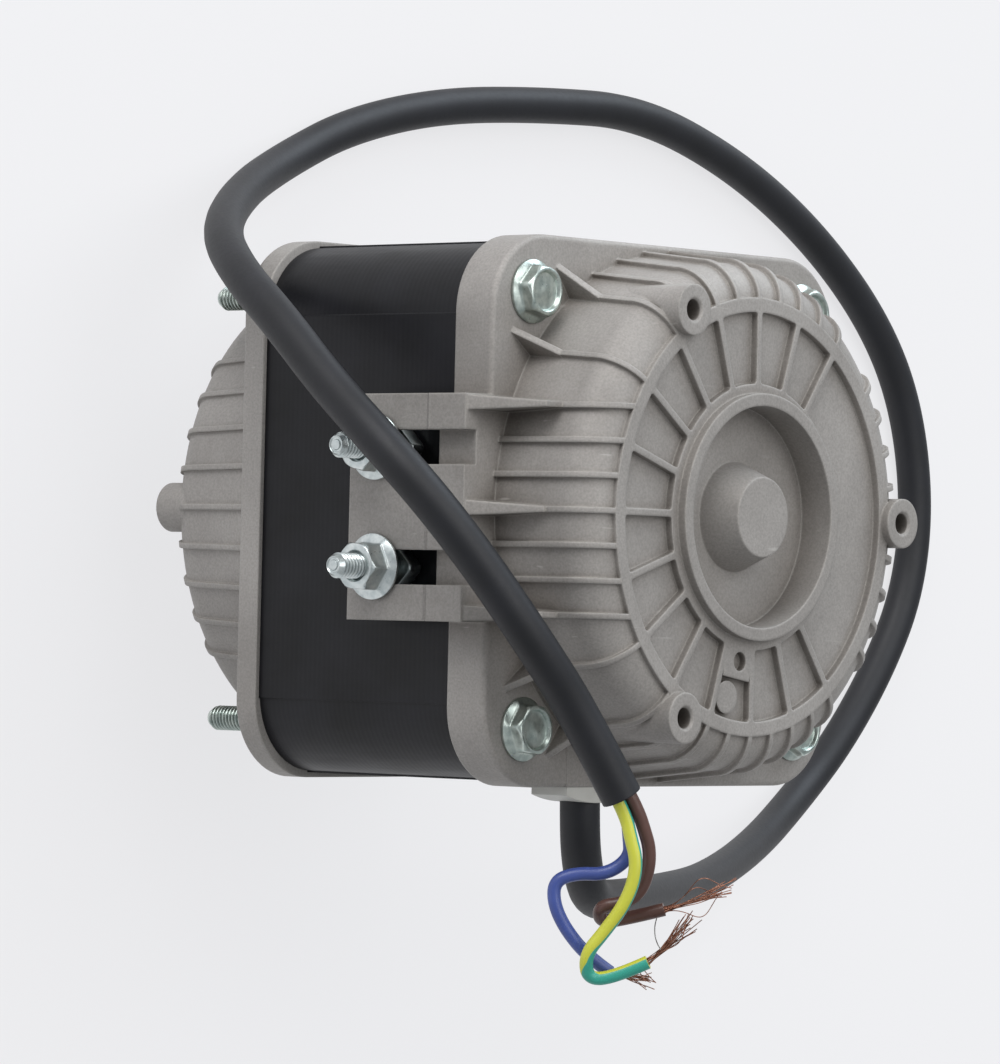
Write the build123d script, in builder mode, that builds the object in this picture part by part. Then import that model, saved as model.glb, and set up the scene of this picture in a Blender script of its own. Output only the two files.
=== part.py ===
"""A square-frame shaded-pole fan motor with its hub, foot, clamp bolts and three-core lead.

Millimetres. The shaft runs along Z, the fan hub points down, and the origin is on the axis in the
hub's end face. The foot faces -Y and the lead leaves towards +X.
"""

import os
from math import acos, asin, cos, degrees, pi, radians, sin, sqrt, tan

from build123d import *

os.makedirs("parts", exist_ok=True)

# Heights along the shaft, from the hub's end face up
spigot_length = 8.0
hub_plate = 4.0
hub_gap = 5.9
front_flange = 4.5
front_rise = 19.9
stack_length = 40.5
rear_flange = 7.5
rear_rise = 18.5
rim_rise = 1.5

# Rotor and lamination stack, from the shaft outwards
rotor_r = 22.0
air_gap = 0.4
shoe_depth = 4.0
shoe_gap = 4.0
bobbin_seat = 0.5
bobbin_length = 7.4
bobbin_clear = 0.3
yoke_width = 7.7
pole_width = 15.0
window_corner = 14.0
stack_corner = 12.5
stack_corner_start = 11.9
stack_step = 0.25

# End covers
flange_overhang = 0.8
flange_edge = 0.8
wall = 2.6
dome_inset = 1.5
dome_draft = 1.4
shoulder_r = 6.3
shoulder_drop = 7.1
shoulder_inset = 5.6
ring_width = 2.3
pocket_gap = 1.5
pocket_depth = 1.3
rib_count = 20
rib_thickness = 1.1
plain_half_angle = 54.0
fin_pitch = 9.0
fin_thickness = 0.9
rear_fin_rise = 0.8
front_fin_rise = 0.55
blade_reach = 5.1
blade_height = 6.0
recess_r = 17.5
recess_ring = 2.0
recess_depth = 5.9
boss_base_r = 8.75
boss_tip_r = 6.3
rear_mount_outset = 2.0
front_mount_outset = 1.3
mount_boss_r = 4.0
mount_hole_r = 1.65
mount_hole_depth = 12.0
mount_chamfer = 0.35

# Foot, cast with the rear cover
foot_half = 17.6
foot_reach = 5.9
foot_plate = 2.7
foot_drop = 16.0
foot_slot_x = 9.3
foot_slot_clear = 1.4
foot_slot_floor = 4.1
gusset_inset = 1.4
gusset_root = 2.4
gusset_tip = 0.9
gusset_height = 10.0
foot_fins_per_side = 3

# Fasteners
thread = 4.0
screw_clear = 0.5
screw_inset = 9.1
across_flats = 7.0
head_height = 3.3
head_flange_margin = 3.0
head_flange_thick = 1.1
nut_height = 3.2
screw_tip = 9.9
foot_bolt_lift = 1.6
foot_bolt_head = 2.8
foot_bolt_reach = 9.5
foot_nut_height = 4.6
foot_nut_margin = 3.3
slide_gap = 0.3

# Rotor's cage and shaft
rotor_slots = 17
bar_width = 2.2
bar_depth = 4.2
bar_cover = 0.8
end_ring = 4.0
end_ring_width = 7.6
shaft_d = 8.0
shaft_end_clear = 3.6
spacer_r = 6.5
end_float = 0.2

# Bearings
bearing_ball_r = 8.5
bearing_length = 9.0
bearing_clear = 0.04
seat_clear = 0.1
housing_wall = 2.0
felt_width = 1.7
bearing_drop = 6.0
housing_drop = 6.2
retainer_thick = 0.8
felt_clear = 0.3

# Windings
bobbin_wall = 1.0
coil_build = 5.6
coil_clear = 0.05
shade_cover = 0.6
shade_clear = 0.25
shade_width = 1.6
shade_start = 18.0
shade_end = 44.4
shade_overhang = 1.8

# Fan hub
spigot_r = 12.7
hub_flange_r = 20.0
hub_collar_r = 8.0
hub_collar_gap = 0.9
hub_bolt_pcd = 32.8
hub_thread_r = 1.65

# Cable grommet and lead
grommet_y = -15.0
grommet_width = 15.4
grommet_clear = 0.15
grommet_stand = 1.3
grommet_crown = 1.2
grommet_depth = 6.4
sheath_d = 6.4
core_d = 2.1
strand_r = 0.75
strand_spread = 1.35

# Levels and radii worked out from the above
front_face_z = spigot_length + hub_plate + hub_gap
stack_bottom = front_face_z + rim_rise + front_rise + front_flange
stack_top = stack_bottom + stack_length
rear_rib_z = stack_top + rear_flange + rear_rise
rear_face_z = rear_rib_z + rim_rise
lead_z = stack_top + rear_flange / 2
bore_r = rotor_r + air_gap
shoe_r = bore_r + shoe_depth
bobbin_inner_r = shoe_r + bobbin_seat
bobbin_outer_r = bobbin_inner_r + bobbin_length
window_half = bobbin_outer_r + bobbin_clear
stack_half = window_half + yoke_width
stack_flat_half = stack_half - stack_corner_start
flange_half = stack_half + flange_overhang
flange_corner = stack_corner
dome_base_r = flange_half - dome_inset
dome_top_r = dome_base_r - dome_draft
shoulder_centre_r = dome_top_r - shoulder_r
shoulder_inner_r = shoulder_r - wall
ring_outer_r = dome_top_r - shoulder_inset
pocket_outer_r = ring_outer_r - ring_width
pocket_inner_r = recess_r + recess_ring + pocket_gap
rear_mount_r = ring_outer_r + rear_mount_outset
front_mount_r = ring_outer_r + front_mount_outset
foot_face = flange_half + foot_reach
foot_start = stack_top - foot_drop
foot_slot_end = foot_start + foot_slot_floor
foot_bolt_z = foot_slot_end + foot_bolt_lift
gusset_pitch = foot_half - gusset_inset
foot_fin_pitch = gusset_pitch / foot_fins_per_side
screw_hole = thread + screw_clear
screw_half_pitch = flange_half - screw_inset
foot_slot_width = thread + foot_slot_clear
head_flange = across_flats + head_flange_margin
foot_nut_flange = across_flats + foot_nut_margin
housing_bore_r = bearing_ball_r + felt_width
housing_r = housing_bore_r + housing_wall
end_ring_inner = rotor_r - bar_cover / 2 - end_ring_width

rear_seat = Plane((0, 0, stack_top))
front_seat = Plane((0, 0, stack_bottom), x_dir=(1, 0, 0), z_dir=(0, 0, -1))


def section_of(seat):
    """The plane through the motor's axis in which a cover's profiles are drawn, radius by height."""
    return Plane(seat.origin, x_dir=seat.x_dir, z_dir=-seat.y_dir)


def axis_of(seat):
    return Axis(seat.origin, seat.z_dir)


def turned(radius, angle):
    """A place at a radius, turned to face outwards."""
    return Location((radius * cos(radians(angle)), radius * sin(radians(angle)), 0), (0, 0, angle))


def dome(seat, flange, rise):
    """The plain body of an end cover: a drafted side and a rounded shoulder up to the face."""
    side_h = flange + rise - shoulder_drop
    stop = degrees(acos((ring_outer_r - shoulder_centre_r) / shoulder_r))
    with BuildPart() as body:
        with BuildSketch(section_of(seat)):
            with BuildLine():
                shoulder = CenterArc((shoulder_centre_r, side_h), shoulder_r, 0, stop)
                Polyline(
                    shoulder @ 1,
                    (ring_outer_r, flange + rise),
                    (0, flange + rise),
                    (0, 0),
                    (dome_base_r, 0),
                    (dome_base_r, flange),
                    shoulder @ 0,
                )
            make_face()
        revolve(axis=axis_of(seat))
        with BuildSketch(seat):
            RectangleRounded(2 * flange_half, 2 * flange_half, flange_corner)
        extrude(amount=flange)
        rim = body.faces().filter_by(Plane.XY).sort_by(axis_of(seat))
        outer = [f for f in rim if abs(f.center().Z - (seat.origin + seat.z_dir * flange).Z) < 0.01]
        fillet(outer[0].outer_wire().edges(), flange_edge)
    return body.part


def fin_set(seat, flange, rise, places, fin_rise):
    """Thin fins that stand out from the dome's side and shoulder, one at each place."""
    side_h = flange + rise - shoulder_drop
    outer_r = shoulder_r + fin_rise
    stop = degrees(acos((ring_outer_r - shoulder_centre_r) / outer_r))
    with BuildPart() as fins:
        with BuildSketch(section_of(seat)):
            with BuildLine():
                shoulder = CenterArc((shoulder_centre_r, side_h), outer_r, 0, stop)
                Polyline(
                    shoulder @ 1,
                    (pocket_outer_r + rib_thickness, flange + rise),
                    (pocket_outer_r + rib_thickness, flange),
                    (dome_base_r + fin_rise, flange),
                    shoulder @ 0,
                )
            make_face()
        revolve(axis=axis_of(seat))
        with BuildSketch(seat):
            with Locations(*places):
                Rectangle(flange_half, fin_thickness, align=(Align.MIN, Align.CENTER))
        extrude(amount=flange + rise + 1, mode=Mode.INTERSECT)
    return fins.part


def corner_blades(seat, flange, fin_rise):
    """Triangular blades from the dome's foot out over the flange, either side of each screw."""
    angles = [45 + 90 * i + side * fin_pitch for i in range(4) for side in (-1, 1)]
    inner = dome_top_r - wall / 2
    with BuildPart() as blades:
        with BuildSketch(section_of(seat)):
            with BuildLine():
                Polyline(
                    (inner, flange),
                    (dome_base_r + fin_rise + blade_reach, flange),
                    (dome_base_r, flange + blade_height),
                    (inner, flange + blade_height),
                    close=True,
                )
            make_face()
        revolve(axis=axis_of(seat))
        with BuildSketch(seat):
            with Locations(*[turned(inner - 2, a) for a in angles]):
                Rectangle(flange_half, rib_thickness, align=(Align.MIN, Align.CENTER))
        extrude(amount=flange + blade_height + 1, mode=Mode.INTERSECT)
    return blades.part


def face_pockets(seat, flange, rise):
    """The shallow pockets between the radial ribs of the face, with one wide plain sector."""
    pitch = 360 / rib_count
    angles = [pitch * i for i in range(rib_count) if abs(pitch * i - 90) >= plain_half_angle]
    mid_r = (pocket_inner_r + pocket_outer_r) / 2
    span = pocket_outer_r - pocket_inner_r + 2
    with BuildPart() as pockets:
        with BuildSketch(seat.offset(flange + rise)) as outline:
            Circle(pocket_outer_r)
            Circle(pocket_inner_r, mode=Mode.SUBTRACT)
            with Locations(*[turned(mid_r, a) for a in angles]):
                Rectangle(span, rib_thickness, mode=Mode.SUBTRACT)
            fillet(outline.vertices(), rib_thickness / 2)
        extrude(amount=-pocket_depth)
    return pockets.part


def centre_recess(seat, flange, rise):
    """The round recess in the face, with the tapered bearing boss left standing in it."""
    rim_h = flange + rise + rim_rise
    with BuildPart() as recess:
        with BuildSketch(section_of(seat)):
            with BuildLine():
                Polyline(
                    (boss_tip_r, rim_h),
                    (boss_base_r, rim_h - recess_depth),
                    (recess_r, rim_h - recess_depth),
                    (recess_r, rim_h + 1),
                    (boss_tip_r, rim_h + 1),
                    close=True,
                )
            make_face()
        revolve(axis=axis_of(seat))
    return recess.part


def mount_bosses(seat, flange, rise, mount_r):
    """Three round threaded bosses at the face's rim, and the raised ring round the recess."""
    height = rise + rim_rise
    with BuildPart() as bosses:
        with BuildSketch(seat.offset(flange)):
            with Locations(*[turned(mount_r, a) for a in (90, 210, 330)]):
                Circle(mount_boss_r)
        extrude(amount=height)
        with BuildSketch(seat.offset(flange + rise - pocket_depth)):
            Circle(recess_r + recess_ring)
        extrude(amount=rim_rise + pocket_depth)
    return bosses.part


def mount_holes(seat, flange, rise, mount_r):
    """Blind holes for M4 threads, with countersunk mouths."""
    top = flange + rise + rim_rise
    with BuildPart() as holes:
        with BuildSketch(section_of(seat)):
            with BuildLine():
                Polyline(
                    (0, top - mount_hole_depth),
                    (mount_hole_r, top - mount_hole_depth),
                    (mount_hole_r, top - mount_chamfer),
                    (mount_hole_r + mount_chamfer, top),
                    (mount_hole_r + mount_chamfer, top + 1),
                    (0, top + 1),
                    close=True,
                )
            make_face()
        revolve(axis=axis_of(seat))
    places = [turned(mount_r, a).position for a in (90, 210, 330)]
    return [holes.part.moved(Location(seat.x_dir * p.X + seat.y_dir * p.Y)) for p in places]


def cover_cavity(seat, flange, rise):
    """The hollow inside a cover, round the bearing housing that hangs from its middle."""
    side_h = flange + rise - shoulder_drop
    roof_h = side_h + shoulder_inner_r
    floor_h = flange + rise + rim_rise - recess_depth - wall + 0.2
    base_r = dome_base_r - wall
    step_r = recess_r + recess_ring + 0.5
    with BuildPart() as cavity:
        with BuildSketch(section_of(seat)):
            with BuildLine():
                shoulder = CenterArc((shoulder_centre_r, side_h), shoulder_inner_r, 0, 90)
                Polyline(
                    shoulder @ 1,
                    (step_r, roof_h),
                    (step_r, floor_h),
                    (housing_r, floor_h),
                    (housing_r, floor_h - bearing_drop - housing_drop),
                    (0, floor_h - bearing_drop - housing_drop),
                    (0, -1),
                    (base_r, -1),
                    (base_r, flange),
                    shoulder @ 0,
                )
            make_face()
        revolve(axis=axis_of(seat))
    return cavity.part


def bearing_height(flange, rise):
    """Height of the bearing's centre above the stack's face."""
    return flange + rise + rim_rise - recess_depth - wall + 0.2 - bearing_drop


def housing_bore(seat, flange, rise, shaft_top):
    """The bearing's round seat, the bore for its felt and the way for the shaft."""
    centre = bearing_height(flange, rise)
    seat_r = bearing_ball_r + seat_clear
    with BuildPart() as bore:
        with BuildSketch(section_of(seat)):
            with BuildLine():
                ball = CenterArc((0, centre), seat_r, 0, 60)
                Polyline(
                    ball @ 1,
                    ((ball @ 1).X, centre + seat_r),
                    (shaft_d / 2 + 0.5, centre + seat_r),
                    (shaft_d / 2 + 0.5, shaft_top),
                    (0, shaft_top),
                    (0, centre - housing_drop - 1),
                    (housing_bore_r, centre - housing_drop - 1),
                    (housing_bore_r, centre),
                    (seat_r, centre),
                )
            make_face()
        revolve(axis=axis_of(seat))
    return bore.part


def screw_places():
    return GridLocations(2 * screw_half_pitch, 2 * screw_half_pitch, 2, 2)


def screw_holes(seat, depth):
    with BuildPart() as holes:
        with BuildSketch(seat):
            with screw_places():
                Circle(screw_hole / 2)
        extrude(amount=depth)
    return holes.part


def fin_angles(skip_foot):
    """Fins every nine degrees, but none at the screws, nor on the foot's side where it is asked."""
    angles = [fin_pitch * i for i in range(round(360 / fin_pitch))]
    corners = (45, 135, 225, 315)
    return [a for a in angles if a not in corners and not (skip_foot and abs(a - 270) < 3.5 * fin_pitch)]


def foot_body():
    """The foot: a plate that stands off the stack, joined to the rear flange's side."""
    plate_back = foot_face - foot_plate
    with BuildPart() as foot:
        with BuildSketch(Plane((0, 0, stack_top))):
            with Locations((0, -(flange_half - 1 + plate_back) / 2)):
                Rectangle(2 * foot_half, plate_back - flange_half + 1)
        extrude(amount=rear_flange)
        with BuildSketch(Plane((0, 0, foot_start))):
            with Locations((0, -(plate_back + foot_face) / 2)):
                Rectangle(2 * foot_half, foot_plate)
        extrude(amount=stack_top + rear_flange - foot_start)
    return foot.part


def foot_slots():
    """Two slots in the foot's plate, round at their lower ends and open at the upper edge."""
    top = stack_top + rear_flange + 1
    with BuildPart() as slots:
        with BuildSketch(Plane((0, -foot_face - 1, 0), x_dir=(1, 0, 0), z_dir=(0, -1, 0))):
            with Locations((-foot_slot_x, foot_slot_end), (foot_slot_x, foot_slot_end)):
                Circle(foot_slot_width / 2)
                Rectangle(foot_slot_width, top - foot_slot_end, align=(Align.CENTER, Align.MIN))
        extrude(amount=-foot_plate - 1)
    return slots.part


def foot_gusset(x):
    """One wedge from the foot's edge up the dome's side, thick at its root and thin at its tip."""
    base_z = stack_top + rear_flange
    with BuildPart() as gusset:
        with BuildSketch(Plane((x, 0, 0), x_dir=(0, 1, 0), z_dir=(1, 0, 0))):
            Polygon(
                (-foot_face + 0.5, base_z - 0.5),
                (-foot_face + 0.5, base_z),
                (-dome_base_r, base_z + gusset_height),
                (-dome_base_r + 4 * wall, base_z + gusset_height),
                (-dome_base_r + 4 * wall, base_z - 0.5),
                align=None,
            )
        extrude(amount=gusset_root / 2, both=True)
        with BuildSketch(Plane.XZ):
            Polygon(
                (x - gusset_root / 2, base_z - 0.5),
                (x + gusset_root / 2, base_z - 0.5),
                (x + gusset_tip / 2, base_z + gusset_height),
                (x - gusset_tip / 2, base_z + gusset_height),
                align=None,
            )
        extrude(amount=foot_face + 1, mode=Mode.INTERSECT)
    return gusset.part


def foot_fins():
    """Straight fins on the foot's side, all in line with the foot's own gussets."""
    numbers = range(-foot_fins_per_side, foot_fins_per_side + 1)
    places = [Location((foot_fin_pitch * i, -recess_r, 0), (0, 0, -90)) for i in numbers]
    return fin_set(rear_seat, rear_flange, rear_rise, places, rear_fin_rise)


def grommet_notch():
    """The notch in the rear flange that the grommet slides into from the stack's side."""
    with BuildPart() as notch:
        with BuildSketch(Plane((0, 0, stack_top - 1))):
            with Locations((flange_half, grommet_y)):
                Rectangle(2 * (grommet_depth + 2), grommet_width)
        extrude(amount=rear_flange + 1)
    return notch.part


def filled_pocket():
    """The one face pocket that is cast half full, with a small round sink and a plain round pad."""
    angle = -9.0
    floor = rear_rib_z - pocket_depth
    fill_depth = 4.8
    with BuildPart() as fill:
        with BuildSketch(Plane((0, 0, floor))):
            with Locations(turned(pocket_inner_r - 0.5, angle)):
                Rectangle(fill_depth + 0.5, 6.6, align=(Align.MIN, Align.CENTER))
            with Locations(turned(pocket_inner_r + fill_depth / 2 - 0.4, angle + 1)):
                Circle(1.5, mode=Mode.SUBTRACT)
        extrude(amount=pocket_depth)
        with BuildSketch(Plane((0, 0, floor))):
            with Locations(turned(pocket_outer_r - 3.3, angle - 2.6)):
                Circle(2.6)
        extrude(amount=pocket_depth - 0.4)
    return fill.part


def boss_top_bore():
    """How high the shaft's bore reaches inside the rear cover's blind boss."""
    return rear_flange + rear_rise + rim_rise - wall


rear_fins = [turned(pocket_inner_r, a) for a in fin_angles(True)]
with BuildPart() as rear_cover:
    add(dome(rear_seat, rear_flange, rear_rise))
    add(fin_set(rear_seat, rear_flange, rear_rise, rear_fins, rear_fin_rise))
    add(foot_fins())
    add(corner_blades(rear_seat, rear_flange, rear_fin_rise))
    add(mount_bosses(rear_seat, rear_flange, rear_rise, rear_mount_r))
    add(face_pockets(rear_seat, rear_flange, rear_rise), mode=Mode.SUBTRACT)
    add(filled_pocket())
    add(foot_body())
    for x in (-gusset_pitch, 0, gusset_pitch):
        add(foot_gusset(x))
    add(foot_slots(), mode=Mode.SUBTRACT)
    add(centre_recess(rear_seat, rear_flange, rear_rise), mode=Mode.SUBTRACT)
    add(cover_cavity(rear_seat, rear_flange, rear_rise), mode=Mode.SUBTRACT)
    add(housing_bore(rear_seat, rear_flange, rear_rise, boss_top_bore()), mode=Mode.SUBTRACT)
    add(mount_holes(rear_seat, rear_flange, rear_rise, rear_mount_r), mode=Mode.SUBTRACT)
    add(screw_holes(rear_seat, rear_flange), mode=Mode.SUBTRACT)
    add(grommet_notch(), mode=Mode.SUBTRACT)
rear_cover.part.label = "rear_cover"
export_step(rear_cover.part, "parts/rear_cover.step")

front_fins = [turned(pocket_inner_r, a) for a in fin_angles(False)]
with BuildPart() as front_cover:
    add(dome(front_seat, front_flange, front_rise))
    add(fin_set(front_seat, front_flange, front_rise, front_fins, front_fin_rise))
    add(corner_blades(front_seat, front_flange, front_fin_rise))
    add(mount_bosses(front_seat, front_flange, front_rise, front_mount_r))
    add(face_pockets(front_seat, front_flange, front_rise), mode=Mode.SUBTRACT)
    add(centre_recess(front_seat, front_flange, front_rise), mode=Mode.SUBTRACT)
    add(cover_cavity(front_seat, front_flange, front_rise), mode=Mode.SUBTRACT)
    add(housing_bore(front_seat, front_flange, front_rise, stack_bottom), mode=Mode.SUBTRACT)
    add(mount_holes(front_seat, front_flange, front_rise, front_mount_r), mode=Mode.SUBTRACT)
    add(screw_holes(front_seat, front_flange), mode=Mode.SUBTRACT)
front_cover.part.label = "front_cover"
export_step(front_cover.part, "parts/front_cover.step")


def shade_sector(inner, outer, start, end):
    """A slice of a ring, for the shading loops and their slots."""
    mid = (start + end) / 2
    with BuildSketch() as slice_of_ring:
        Circle(outer)
        Circle(inner, mode=Mode.SUBTRACT)
        with Locations(turned(0, mid)):
            half = (end - start) / 2
            reach = outer + 2
            Polygon(
                (0, 0),
                (reach, -reach * tan(radians(half))),
                (reach, reach * tan(radians(half))),
                align=None,
                mode=Mode.INTERSECT,
            )
    return slice_of_ring.sketch


shade_inner = bore_r + shade_cover
shade_outer = shade_inner + shade_width
shade_leg = degrees(shade_width / shade_outer)
with BuildPart() as stator_core:
    with BuildSketch(Plane((0, 0, stack_bottom))):
        RectangleRounded(2 * (stack_half - stack_step), 2 * (stack_half - stack_step), stack_corner)
        Rectangle(2 * stack_half, 2 * stack_flat_half)
        Rectangle(2 * stack_flat_half, 2 * stack_half)
        RectangleRounded(2 * window_half, 2 * window_half, window_corner, mode=Mode.SUBTRACT)
        with PolarLocations(0, 4):
            Rectangle(window_half + 1, pole_width, align=(Align.MIN, Align.CENTER))
        Circle(shoe_r)
        with PolarLocations(0, 4, start_angle=45):
            Rectangle(shoe_r + 2, shoe_gap, align=(Align.MIN, Align.CENTER), mode=Mode.SUBTRACT)
        Circle(bore_r, mode=Mode.SUBTRACT)
        with PolarLocations(bore_r, 4, start_angle=shade_start):
            Rectangle(
                2 * (shade_outer - bore_r + shade_clear), shade_width + 2 * shade_clear, mode=Mode.SUBTRACT
            )
        with screw_places():
            Circle(screw_hole / 2, mode=Mode.SUBTRACT)
    extrude(amount=stack_length)
stator_core.part.label = "stator_core"
export_step(stator_core.part, "parts/stator_core.step")


def bobbin(angle):
    """A plastic spool on one pole: a tube with two flanges."""
    core_y = pole_width / 2 + bobbin_clear
    core_z = stack_length / 2 + bobbin_clear
    rim = bobbin_wall + coil_build + 0.4
    length = bobbin_length
    middle = (stack_bottom + stack_top) / 2
    with BuildPart() as spool:
        with BuildSketch(Plane((bobbin_inner_r, 0, middle), x_dir=(0, 1, 0), z_dir=(1, 0, 0))):
            RectangleRounded(2 * (core_y + bobbin_wall), 2 * (core_z + bobbin_wall), 1.5)
        extrude(amount=length)
        for start in (bobbin_inner_r, bobbin_outer_r - bobbin_wall):
            with BuildSketch(Plane((start, 0, middle), x_dir=(0, 1, 0), z_dir=(1, 0, 0))):
                RectangleRounded(2 * (core_y + rim), 2 * (core_z + rim), 3)
            extrude(amount=bobbin_wall)
        with BuildSketch(Plane((bobbin_inner_r, 0, middle), x_dir=(0, 1, 0), z_dir=(1, 0, 0))):
            Rectangle(2 * core_y, 2 * core_z)
        extrude(amount=length, mode=Mode.SUBTRACT)
    return spool.part.rotate(Axis.Z, angle)


def coil(angle):
    """The winding on one bobbin, with rounded corners where the wire turns over the stack."""
    core_y = pole_width / 2 + bobbin_clear + bobbin_wall + coil_clear
    core_z = stack_length / 2 + bobbin_clear + bobbin_wall + coil_clear
    start = bobbin_inner_r + bobbin_wall + coil_clear
    length = bobbin_length - 2 * (bobbin_wall + coil_clear)
    middle = (stack_bottom + stack_top) / 2
    plane = Plane((start, 0, middle), x_dir=(0, 1, 0), z_dir=(1, 0, 0))
    with BuildPart() as winding:
        with BuildSketch(plane):
            RectangleRounded(2 * (core_y + coil_build), 2 * (core_z + coil_build), coil_build)
            RectangleRounded(2 * core_y, 2 * core_z, 1.5, mode=Mode.SUBTRACT)
        extrude(amount=length)
    return winding.part.rotate(Axis.Z, angle)


def shading_ring(angle):
    """A closed copper loop: one leg in a slot of the pole shoe, one beside the shoe's tip."""
    height = stack_length + 2 * shade_overhang
    outline = shade_sector(shade_inner, shade_outer, shade_start - shade_leg / 2, shade_end)
    window = shade_sector(
        shade_inner - shade_width, shade_outer + shade_width, shade_start + shade_leg / 2, shade_end - shade_leg
    )
    gap = shade_clear
    with BuildPart() as ring:
        add(extrude(outline, amount=height, mode=Mode.PRIVATE).moved(
            Location((0, 0, stack_bottom - shade_overhang))))
        add(extrude(window, amount=stack_length + 2 * gap, mode=Mode.PRIVATE).moved(
            Location((0, 0, stack_bottom - gap))), mode=Mode.SUBTRACT)
    return ring.part.rotate(Axis.Z, angle)


for number in range(4):
    for make, name in ((bobbin, "bobbin"), (coil, "coil"), (shading_ring, "shading_ring")):
        piece = make(90 * number)
        piece.label = f"{name}_{number + 1}"
        export_step(piece, f"parts/{name}_{number + 1}.step")

bar_r = rotor_r - bar_cover - bar_depth / 2
with BuildPart() as rotor_core:
    with BuildSketch(Plane((0, 0, stack_bottom))):
        Circle(rotor_r)
        Circle(shaft_d / 2, mode=Mode.SUBTRACT)
        with PolarLocations(bar_r, rotor_slots):
            Rectangle(bar_depth, bar_width, mode=Mode.SUBTRACT)
    extrude(amount=stack_length)
rotor_core.part.label = "rotor_core"
export_step(rotor_core.part, "parts/rotor_core.step")

with BuildPart() as rotor_cage:
    with BuildSketch(Plane((0, 0, stack_bottom))):
        with PolarLocations(bar_r, rotor_slots):
            Rectangle(bar_depth, bar_width)
    extrude(amount=stack_length)
    for level in (stack_bottom - end_ring, stack_top):
        with BuildSketch(Plane((0, 0, level))):
            Circle(rotor_r - bar_cover / 2)
            Circle(end_ring_inner, mode=Mode.SUBTRACT)
        extrude(amount=end_ring)
rotor_cage.part.label = "rotor_cage"
export_step(rotor_cage.part, "parts/rotor_cage.step")

shaft_foot = shaft_end_clear
shaft_top = stack_top + boss_top_bore() - 1.0
with BuildPart() as shaft:
    with BuildSketch(Plane((0, 0, shaft_foot))):
        Circle(shaft_d / 2)
    extrude(amount=shaft_top - shaft_foot)
    chamfer(shaft.edges().filter_by(GeomType.CIRCLE), 0.4)
    with BuildSketch(Plane((0, 0, shaft_foot))):
        Circle(thread / 2)
    extrude(amount=12, mode=Mode.SUBTRACT)
shaft.part.label = "shaft"
export_step(shaft.part, "parts/shaft.step")


def spacer(seat, flange, rise):
    """A sleeve on the shaft between the rotor's core and the bearing."""
    length = bearing_height(flange, rise) - bearing_length / 2 - end_float
    with BuildPart() as sleeve:
        with BuildSketch(seat):
            Circle(spacer_r)
            Circle(shaft_d / 2, mode=Mode.SUBTRACT)
        extrude(amount=length)
    return sleeve.part


def bearing(seat, flange, rise):
    """A sintered bronze bush with a ball-shaped outside."""
    centre = bearing_height(flange, rise)
    half = bearing_length / 2
    tip_r = sqrt(bearing_ball_r**2 - half**2)
    bore = shaft_d / 2 + bearing_clear
    with BuildPart() as bush:
        with BuildSketch(section_of(seat)):
            with BuildLine():
                swing = degrees(asin(half / bearing_ball_r))
                ball = CenterArc((0, centre), bearing_ball_r, -swing, 2 * swing)
                Polyline(
                    ball @ 1,
                    (bore, centre + half),
                    (bore, centre - half),
                    ball @ 0,
                )
            make_face()
        revolve(axis=axis_of(seat))
    return bush.part


def retainer(seat, flange, rise):
    """The spring disc that presses the bearing into its seat."""
    low = bearing_height(flange, rise) - housing_drop
    inner = sqrt(bearing_ball_r**2 - (housing_drop - retainer_thick - 1.6) ** 2) + 0.3
    with BuildPart() as disc:
        with BuildSketch(section_of(seat)):
            with BuildLine():
                Polyline(
                    (housing_bore_r, low),
                    (housing_bore_r, low + retainer_thick),
                    (inner + 0.9, low + retainer_thick),
                    (inner + 0.3, low + retainer_thick + 1.2),
                    (inner - 0.3, low + retainer_thick + 0.8),
                    (inner + 0.4, low),
                    close=True,
                )
            make_face()
        revolve(axis=axis_of(seat))
    return disc.part


def felt(seat, flange, rise):
    """The oil felt that lies round the bearing above its retainer."""
    centre = bearing_height(flange, rise)
    low = centre - housing_drop + retainer_thick + 1.6
    with BuildPart() as ring:
        with BuildSketch(seat.offset(low)):
            Circle(housing_bore_r - 0.05)
            Circle(bearing_ball_r + 0.15, mode=Mode.SUBTRACT)
        extrude(amount=centre - low - felt_clear)
    return ring.part


ends = (("rear", rear_seat, rear_flange, rear_rise), ("front", front_seat, front_flange, front_rise))
for end, seat, flange, rise in ends:
    for make, name in ((spacer, "spacer"), (bearing, "bearing"), (retainer, "retainer"), (felt, "felt")):
        piece = make(seat, flange, rise)
        piece.label = f"{end}_{name}"
        export_step(piece, f"parts/{end}_{name}.step")

hub_collar_top = front_face_z - hub_collar_gap
with BuildPart() as fan_hub:
    with BuildSketch(Plane.XZ):
        with BuildLine():
            Polyline(
                (thread / 2 + 0.3, 0),
                (spigot_r - 0.5, 0),
                (spigot_r, 0.5),
                (spigot_r, spigot_length),
                (hub_flange_r, spigot_length),
                (hub_flange_r, spigot_length + hub_plate),
                (hub_collar_r, spigot_length + hub_plate),
                (hub_collar_r, hub_collar_top),
                (shaft_d / 2, hub_collar_top),
                (shaft_d / 2, shaft_end_clear),
                (thread / 2 + 0.3, shaft_end_clear),
                close=True,
            )
        make_face()
    revolve(axis=Axis.Z)
    with BuildSketch(Plane((0, 0, spigot_length))):
        with PolarLocations(hub_bolt_pcd / 2, 4, start_angle=45):
            Circle(hub_thread_r)
    extrude(amount=hub_plate, mode=Mode.SUBTRACT)
    with BuildSketch(Plane.XY):
        Circle(across_flats / 2 + 0.6)
    extrude(amount=shaft_end_clear - 1.2, mode=Mode.SUBTRACT)
fan_hub.part.label = "fan_hub"
export_step(fan_hub.part, "parts/fan_hub.step")

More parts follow.
